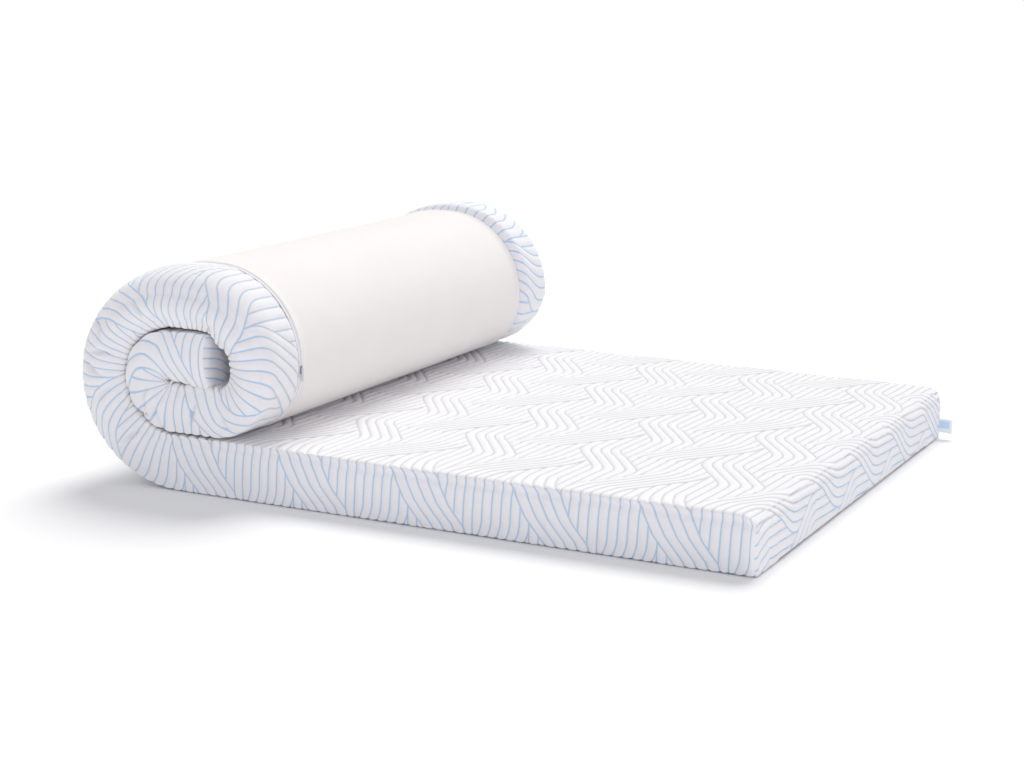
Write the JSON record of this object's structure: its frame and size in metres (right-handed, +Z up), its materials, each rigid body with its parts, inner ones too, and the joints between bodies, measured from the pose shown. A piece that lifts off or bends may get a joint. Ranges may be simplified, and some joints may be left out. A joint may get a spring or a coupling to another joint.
{
  "type": "mattress topper",
  "caption": "Quilted foam mattress topper, laid flat at one end and rolled up at the other, with a zipped smooth underside panel and a bare sewn-in tab.",
  "frame": {"origin": "on the floor, under the middle of the whole extent", "axes": "+X along the pad from the roll to its open end, +Y across the pad to its far side, +Z up"},
  "size_m": [1.0922, 0.908, 0.3364],
  "materials": {
    "quilted_knit": "matt knit, raised ribs between blue grooves",
    "plain_knit": "matt, smooth off-white",
    "zip_tape": "matt woven tape with fine coil teeth",
    "zip_metal": "satin grey metal",
    "label_cloth": "smooth woven tab, bare"
  },
  "bodies": {
    "root": {"topper_body": "quilted_knit", "base_panel": "plain_knit", "zip_tape_near": "zip_tape", "zip_tape_far": "zip_tape", "zip_slider": "zip_metal", "zip_pull": "zip_metal", "side_label": "label_cloth"}
  },
  "joints": []
}
